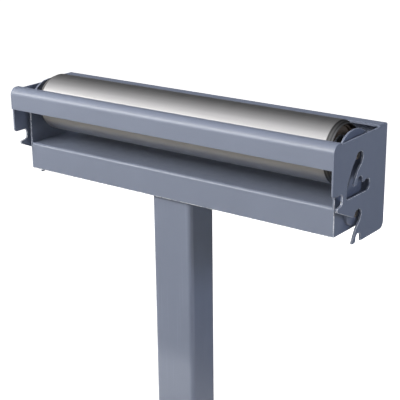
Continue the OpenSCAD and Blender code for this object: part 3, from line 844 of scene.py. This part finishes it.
class StandClamp(bpy.types.Operator):
    """Models the star knob and its threaded screw, and finishes the pad"""
    bl_idname = "stand.clamp"
    bl_label = "Clamp"

    def execute(self, context):
        sizes = context.scene.stand_sizes
        centre = Vector((0, 0, middle("clamp_screw").z))
        dress("clamp_pad", "turned_brass", sizes.pad_edge)
        put_on(smooth_by_angle(self.screw(centre, sizes.thread_pitch), 40),
               "bright_zinc_plate", "knob", "zinc", "clamp_screw")
        put_on(smooth_by_angle(self.knob(centre), 50), "moulded_black_nylon", "knob", "black_plastic",
               "clamp_knob")
        put_on(smooth_by_angle(self.button(centre), 50), "bright_zinc_plate", "knob", "zinc")
        return {"FINISHED"}

    @staticmethod
    def screw(centre, pitch):
        """The clamp screw: a thread that runs out before the plain nose that turns in the pad."""
        start, tip = low("clamp_screw").y, high("clamp_screw").y
        nose, nose_long, soft, step, run_out = 3 * MM, 3 * MM, 0.4 * MM, 1.2 * MM, 0.5 * MM
        shoulder = tip - nose_long
        profile = [(M12_RADIUS * 0.8, start)]
        profile += thread_rows(M12_RADIUS, start + soft, shoulder - 2 * run_out, pitch)
        profile += [(nose + step, shoulder), (nose, shoulder), (nose, tip - soft), (nose - soft, tip)]
        cut = thread_radius(pitch, THREAD_SHARE * pitch)

        def at(r, angle, run):
            return cut(r, angle, run) if start < run < shoulder - run_out else r
        return turned("threaded_screw", profile, "y", centre, 48, at)

    @staticmethod
    def knob(centre):
        """A knob with rounded lobes, a dish in its face and a hub behind it."""
        box_low, box_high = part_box("clamp_knob")
        lobes, thick, dip, edge, edge_steps = 5, 18 * MM, 12 * MM, 4 * MM, 6
        peak, front, back, nose = box_high.z - centre.z, box_low.y, box_low.y + thick, box_high.y
        hub, soft, fit = 15 * MM, 1 * MM, 0.05 * MM
        # Radius and depth in millimetres, from the dish's middle out to the face
        dish = [(0.5, 3), (9, 3), (9.8, 2.4), (10.6, 0.6), (11.6, 0), (16, 0)]
        # The fillet behind the lobes, as millimetres outside the hub and behind the lobes
        fillet = [(3, 0), (0.6, 0.6), (0, 2)]

        def rounded_edge(y, inward):
            return [(peak - edge * (1 - math.sin(t)), y + inward * edge * (1 - math.cos(t)))
                    for t in quarter_turn(edge_steps)]

        def lobe(r, angle, run):
            # turned() measures its angle from Z towards X, as the solid's star does
            share = min(r / peak, 1.0)
            return r - dip / 2 * (1 - math.cos(lobes * angle)) * share ** 3
        profile = [(r * MM, front + depth * MM) for r, depth in dish]
        profile += rounded_edge(front, 1) + rounded_edge(back, -1)[::-1]
        profile += [(hub + out * MM, back + run * MM) for out, run in fillet]
        profile += [(hub, nose - soft), (hub - soft, nose), (M12_RADIUS + 0.4 * MM, nose),
                    (M12_RADIUS + fit, nose - 0.5 * MM), (M12_RADIUS + fit, nose - 4 * MM)]
        return turned("star_knob", profile, "y", centre, 160, lobe)

    @staticmethod
    def button(centre):
        """The domed cover in the knob's dish."""
        # Radius and depth behind the knob's face, in millimetres
        dome = [(0.4, 1.0), (6, 1.2), (8.2, 1.9), (8.6, 3.3)]
        face = low("clamp_knob").y
        return turned("knob_button", [(r * MM, face + depth * MM) for r, depth in dome], "y", centre, 64)


class StandCollar(bpy.types.Operator):
    """Finishes the moulded collar on the column"""
    bl_idname = "stand.collar"
    bl_label = "Collar"

    def execute(self, context):
        dress("column_collar", "moulded_black_nylon", context.scene.stand_sizes.collar_edge, 4)
        return {"FINISHED"}


class StandBase(bpy.types.Operator):
    """Models the base bolts and nuts, and finishes washers and shoes"""
    bl_idname = "stand.base"
    bl_label = "Base"

    def execute(self, context):
        sizes = context.scene.stand_sizes
        dress("foot_shoes", "moulded_rubber", sizes.shoe_edge)
        dress("base_washers", "bright_zinc_plate", sizes.washer_edge, 2)
        # The heads have a corner towards X and a flat towards Y
        nut_low, nut_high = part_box("base_nuts")
        nut_thick, nut_z = nut_high.z - nut_low.z, middle("base_nuts").z
        x_out = high("base_bolts").x - corner_radius(M8_FLAT)
        y_out = high("base_bolts").y - M8_FLAT / 2
        spots = [Vector((x, y, 0)) for x in (-x_out, x_out) for y in (-y_out, y_out)]
        bolts = [self.bolt(spot, sizes.bolt_pitch) for spot in spots]
        nuts = [nut_shape(M8_FLAT, M8_RADIUS, nut_thick, "z", Vector((spot.x, spot.y, nut_z)))
                for spot in spots]
        for name, pieces, node in (("hex_bolts", bolts, "base_bolts"), ("hex_nuts", nuts, "base_nuts")):
            put_on(smooth_by_angle(join(name, pieces), 30), "bright_zinc_plate", "base", "zinc", node)
        return {"FINISHED"}

    @staticmethod
    def bolt(centre, pitch):
        """A bolt with its head up: a threaded end, a plain shank and a dished hexagon head."""
        end, top = low("base_bolts").z, high("base_bolts").z
        tip, inner = corner_radius(M8_FLAT), M8_FLAT / 2
        head, shank, point, dish, chamfer = 5.5 * MM, 16 * MM, 0.7 * MM, 0.3 * MM, 1.2 * MM
        face, rim_share, floor_share = 0.98, 0.80, 0.76
        under = top - head
        thread_top = under - shank
        profile = [(M8_RADIUS - point, end)]
        profile += thread_rows(M8_RADIUS, end + point, thread_top, pitch)
        # The last point under the head is just below it, so that the hexagon starts at the head
        profile += [(M8_RADIUS, thread_top + 0.5 * MM), (M8_RADIUS, under - 0.01 * MM), (tip, under),
                    (tip, top - chamfer), (inner * face, top - dish), (inner * rim_share, top - dish),
                    (inner * floor_share, top - 2 * dish), (0.5 * MM, top - 2 * dish)]
        cut, outline = thread_radius(pitch, THREAD_SHARE * pitch), hex_radius(M8_FLAT)

        def at(r, angle, run):
            if run >= under:
                return outline(r, angle, run)
            return cut(r, angle, run) if end < run < thread_top else r
        return turned("bolt", profile, "z", centre, 72, at)


# The middle of the head, then each lamp's setting, size, place, target and colour, and
# whether reflections show it

HEAD = (0, 0, 0.76)
LAMPS = {
    "key_lamp": ("key", (1.5, 0.75), (-0.92, -1.46, 1.86), HEAD, "#FFFCF3", False),
    "side_lamp": ("side", (0.5, 0.5), (2.1, 0.1, 1.55), HEAD, "#DEE8FF", True),
    "rear_lamp": ("rear", (1.5, 0.5), (-0.3, 2.2, 0.72), (0, 0, 0.72), "#FFFFFF", False),
    "top_lamp": ("top", (1.6, 1.6), (0, -0.5, 2.4), HEAD, "#FFFFFF", False),
}


class StandStage(bpy.types.Operator):
    """Builds the white studio, its floor, reflected sheets and lamps, and the camera"""
    bl_idname = "stand.stage"
    bl_label = "Studio and camera"

    def execute(self, context):
        studio = context.scene.stand_studio
        self.sky(context, studio)
        self.floor()
        self.flag()
        self.card()
        self.bright_sheet(studio)
        for name, (setting, *facts) in LAMPS.items():
            self.lamp(name, getattr(studio, setting), *facts)
        self.camera(context, studio)
        context.scene.view_settings.view_transform = "Standard"
        return {"FINISHED"}

    @staticmethod
    def background_rays(tree):
        """1 for the rays that see the background: camera, glossy and transmission rays."""
        path = add_node(tree, "ShaderNodeLightPath")
        seen = add_node(tree, "ShaderNodeMath", {
            0: path.outputs["Is Camera Ray"], 1: path.outputs["Is Glossy Ray"]}, operation="MAXIMUM")
        return add_node(tree, "ShaderNodeMath", {
            0: seen.outputs[0], 1: path.outputs["Is Transmission Ray"]}, operation="MAXIMUM").outputs[0]

    @staticmethod
    def empty_material(name):
        """A material with nothing in its node tree."""
        material = bpy.data.materials.new(name)
        material.use_nodes = True
        material.node_tree.nodes.clear()
        return material

    @staticmethod
    def only_reflected(sheet, material, *lights):
        """A glowing sheet that only reflections see; each light is a colour and its level."""
        tree = material.node_tree
        shown = None
        for colour, level in lights:
            glow = add_node(tree, "ShaderNodeEmission", {
                "Color": tint(linear(colour)), "Strength": level}).outputs[0]
            shown = glow if shown is None else add_node(
                tree, "ShaderNodeAddShader", {0: shown, 1: glow}).outputs[0]
        add_node(tree, "ShaderNodeOutputMaterial", {"Surface": shown})
        sheet.data.materials.append(material)
        sheet.visible_camera = False
        sheet.visible_diffuse = False
        sheet.visible_shadow = False
        sheet.visible_transmission = False

    def sky(self, context, studio):
        """Light from all round, which falls off from the front left to the back right."""
        world = bpy.data.worlds.new("white_studio")
        world.use_nodes = True
        tree = world.node_tree
        brightest, darkest, turn, back_right = 1.6, 0.05, 0.8, (0.35, 0.94, 0)
        way = add_node(tree, "ShaderNodeTexCoord").outputs["Generated"]
        share = add_node(tree, "ShaderNodeVectorMath", {0: way, 1: back_right},
                         operation="DOT_PRODUCT").outputs["Value"]
        sides = add_node(tree, "ShaderNodeMapRange", {
            "Value": share, "From Min": -turn, "From Max": turn,
            "To Min": studio.sky * brightest, "To Max": studio.sky * darkest}).outputs[0]
        level = add_node(tree, "ShaderNodeMapRange", {
            "Value": self.background_rays(tree), "To Min": sides, "To Max": 1.0}).outputs[0]
        tree.links.new(level, tree.nodes["Background"].inputs["Strength"])
        tree.nodes["Background"].inputs["Color"].default_value = tint(linear("#FFFFFF"))
        context.scene.world = world

    def floor(self):
        """Matt white paper, which the rays that see the background get lighter further away."""
        far, near_level, near_end, far_start = 20.0, 0.68, 0.6, 2.0
        rows = [[(-far, -far, 0), (far, -far, 0)], [(-far, far, 0), (far, far, 0)]]
        floor = mesh_piece("floor", rows, "sheet")
        material = self.empty_material("white_paper_floor")
        tree = material.node_tree
        paper = add_node(tree, "ShaderNodeBsdfDiffuse", {"Color": tint(linear("#CBCBCB"))})
        place = add_node(tree, "ShaderNodeTexCoord").outputs["Object"]
        away = add_node(tree, "ShaderNodeVectorMath", {0: place}, operation="LENGTH").outputs["Value"]
        level = add_node(tree, "ShaderNodeMapRange", {
            "Value": away, "From Min": near_end, "From Max": far_start,
            "To Min": near_level, "To Max": 1.0}).outputs[0]
        seen = add_node(tree, "ShaderNodeMath", {0: self.background_rays(tree), 1: level},
                        operation="MULTIPLY").outputs[0]
        glow = add_node(tree, "ShaderNodeEmission", {"Strength": seen})
        both = add_node(tree, "ShaderNodeAddShader", {0: paper.outputs[0], 1: glow.outputs[0]})
        add_node(tree, "ShaderNodeOutputMaterial", {"Surface": both.outputs[0]})
        floor.data.materials.append(material)

    def flag(self):
        """A curved sheet from over the front round to the floor behind, seen only in reflections."""
        radius, half, middle_z, ground_z, steps = 3.0, 5.0, 0.77, 0.03, 36
        front_angle, sweep = 40, 144
        lit, dark, contrast = math.radians(-38), math.radians(88), 2.86
        side_start, side_end, side_level = 0.3, 1.4, 0.4
        rows = []
        for i in range(steps + 1):
            angle = math.radians(front_angle - sweep * i / steps)
            y, z = -radius * math.sin(angle), middle_z + radius * math.cos(angle)
            rows.append([(x, y, z) for x in (-half, half)])
        # It comes forward along the floor, for the rays that graze the roller
        rows += [[(x, y, ground_z) for x in (-half, half)] for y in (2.4, 1.8, 1.2, 0.7)]
        flag = mesh_piece("dark_flag", rows, "sheet")
        material = self.empty_material("grey_flag_cloth")
        tree = material.node_tree
        place = add_node(tree, "ShaderNodeTexCoord").outputs["Object"]
        parts = add_node(tree, "ShaderNodeSeparateXYZ", {0: place}).outputs
        # Its level falls with the angle round the head, from over the front to level behind
        over = add_node(tree, "ShaderNodeMath", {0: parts["Z"], 1: middle_z}, operation="SUBTRACT")
        angle = add_node(tree, "ShaderNodeMath", {0: parts["Y"], 1: over.outputs[0]},
                         operation="ARCTAN2").outputs[0]
        share = add_node(tree, "ShaderNodeMapRange", {
            "Value": angle, "From Min": lit, "From Max": dark,
            "To Min": 1.0, "To Max": 0.0}).outputs[0]
        curve = add_node(tree, "ShaderNodeMath", {0: share, 1: contrast}, operation="POWER").outputs[0]
        level = add_node(tree, "ShaderNodeMapRange", {
            "Value": curve, "To Min": 0.04, "To Max": 1.55}).outputs[0]
        # A cool light comes in towards the right, for the side plate and the mast's side
        side = add_node(tree, "ShaderNodeMapRange", {
            "Value": parts["X"], "From Min": side_start, "From Max": side_end,
            "To Min": 0.0, "To Max": side_level}).outputs[0]
        self.only_reflected(flag, material, ("#FDFDFF", level), ("#ECF6FF", side))

    def bright_sheet(self, studio):
        """The bright sheet at the front left, seen only in reflections."""
        centre, half_width, half_height = Vector((-1.13, -1.54, 1.50)), 0.8, 0.29
        out = (Vector(HEAD) - centre).normalized()
        side = out.cross(Vector((0, 0, 1))).normalized() * half_width
        up = side.cross(out).normalized() * half_height
        rows = [[centre - side + edge, centre + side + edge] for edge in (-up, up)]
        sheet = mesh_piece("bright_sheet", rows, "sheet")
        self.only_reflected(sheet, self.empty_material("bright_sheet_cloth"), ("#FFFDF8", studio.sheet))

    def card(self):
        """A grey sheet low in front of the head, seen only in reflections."""
        half, near, far = 2, (-0.06, 0.5), (-1.3, 0.25)
        rows = [[(x, *edge) for x in (-half, half)] for edge in (near, far)]
        card = mesh_piece("grey_card", rows, "sheet")
        self.only_reflected(card, self.empty_material("grey_card_paper"), ("#89857E", 1.0))

    def lamp(self, name, power, size, place, target, colour, shown):
        """A rectangular lamp of this power in watts, turned to its target."""
        data = bpy.data.lights.new(name, "AREA")
        data.shape = "RECTANGLE"
        data.size, data.size_y = size
        data.energy = power
        data.color = linear(colour)
        lamp = new_object(name, data)
        lamp.visible_glossy = shown
        lamp.location = place
        lamp.rotation_mode = "QUATERNION"
        lamp.rotation_quaternion = (Vector(target) - Vector(place)).to_track_quat("-Z", "Y")

    def camera(self, context, studio):
        """The camera at the photo's view."""
        a, e = studio.azimuth, studio.elevation
        back = Vector((math.sin(a) * math.cos(e), -math.cos(a) * math.cos(e), math.sin(e)))
        right = Vector((math.cos(a), math.sin(a), 0))
        axes = Matrix((right, back.cross(right), back)).transposed().to_4x4()
        data = bpy.data.cameras.new("photo_camera")
        data.sensor_width = 36.0
        data.lens = studio.lens
        data.clip_start, data.clip_end = 0.05, 60.0
        camera = new_object("photo_camera", data)
        camera.matrix_world = (Matrix.Translation(Vector(studio.place)) @ axes
                               @ Matrix.Rotation(studio.roll, 4, "Z"))
        context.scene.camera = camera


OPERATORS = (StandPainted, StandWelds, StandRoller, StandBearings, StandAxle, StandClamp,
             StandCollar, StandBase, StandStage)


class StandPanel(bpy.types.Panel):
    """Lists the roller stand's groups and settings"""
    bl_idname = "VIEW3D_PT_roller_stand"
    bl_label = "Roller stand"
    bl_space_type = "VIEW_3D"
    bl_region_type = "UI"
    bl_category = "Roller stand"

    def draw(self, context):
        for operator in OPERATORS:
            self.layout.operator(operator.bl_idname)
        for group in (context.scene.stand_colours, context.scene.stand_sizes, context.scene.stand_studio):
            box = self.layout.box()
            for name in group.__annotations__:
                box.prop(group, name)


CLASSES = (StandColours, StandSizes, StandStudio) + OPERATORS + (StandPanel,)


def register():
    for cls in CLASSES:
        bpy.utils.register_class(cls)
    bpy.types.Scene.stand_colours = bpy.props.PointerProperty(type=StandColours)
    bpy.types.Scene.stand_sizes = bpy.props.PointerProperty(type=StandSizes)
    bpy.types.Scene.stand_studio = bpy.props.PointerProperty(type=StandStudio)


def unregister():
    del bpy.types.Scene.stand_colours
    del bpy.types.Scene.stand_sizes
    del bpy.types.Scene.stand_studio
    for cls in reversed(CLASSES):
        bpy.utils.unregister_class(cls)


def main():
    register()
    for operator in OPERATORS:
        group, name = operator.bl_idname.split(".")
        getattr(getattr(bpy.ops, group), name)()


if __name__ == "__main__":
    main()
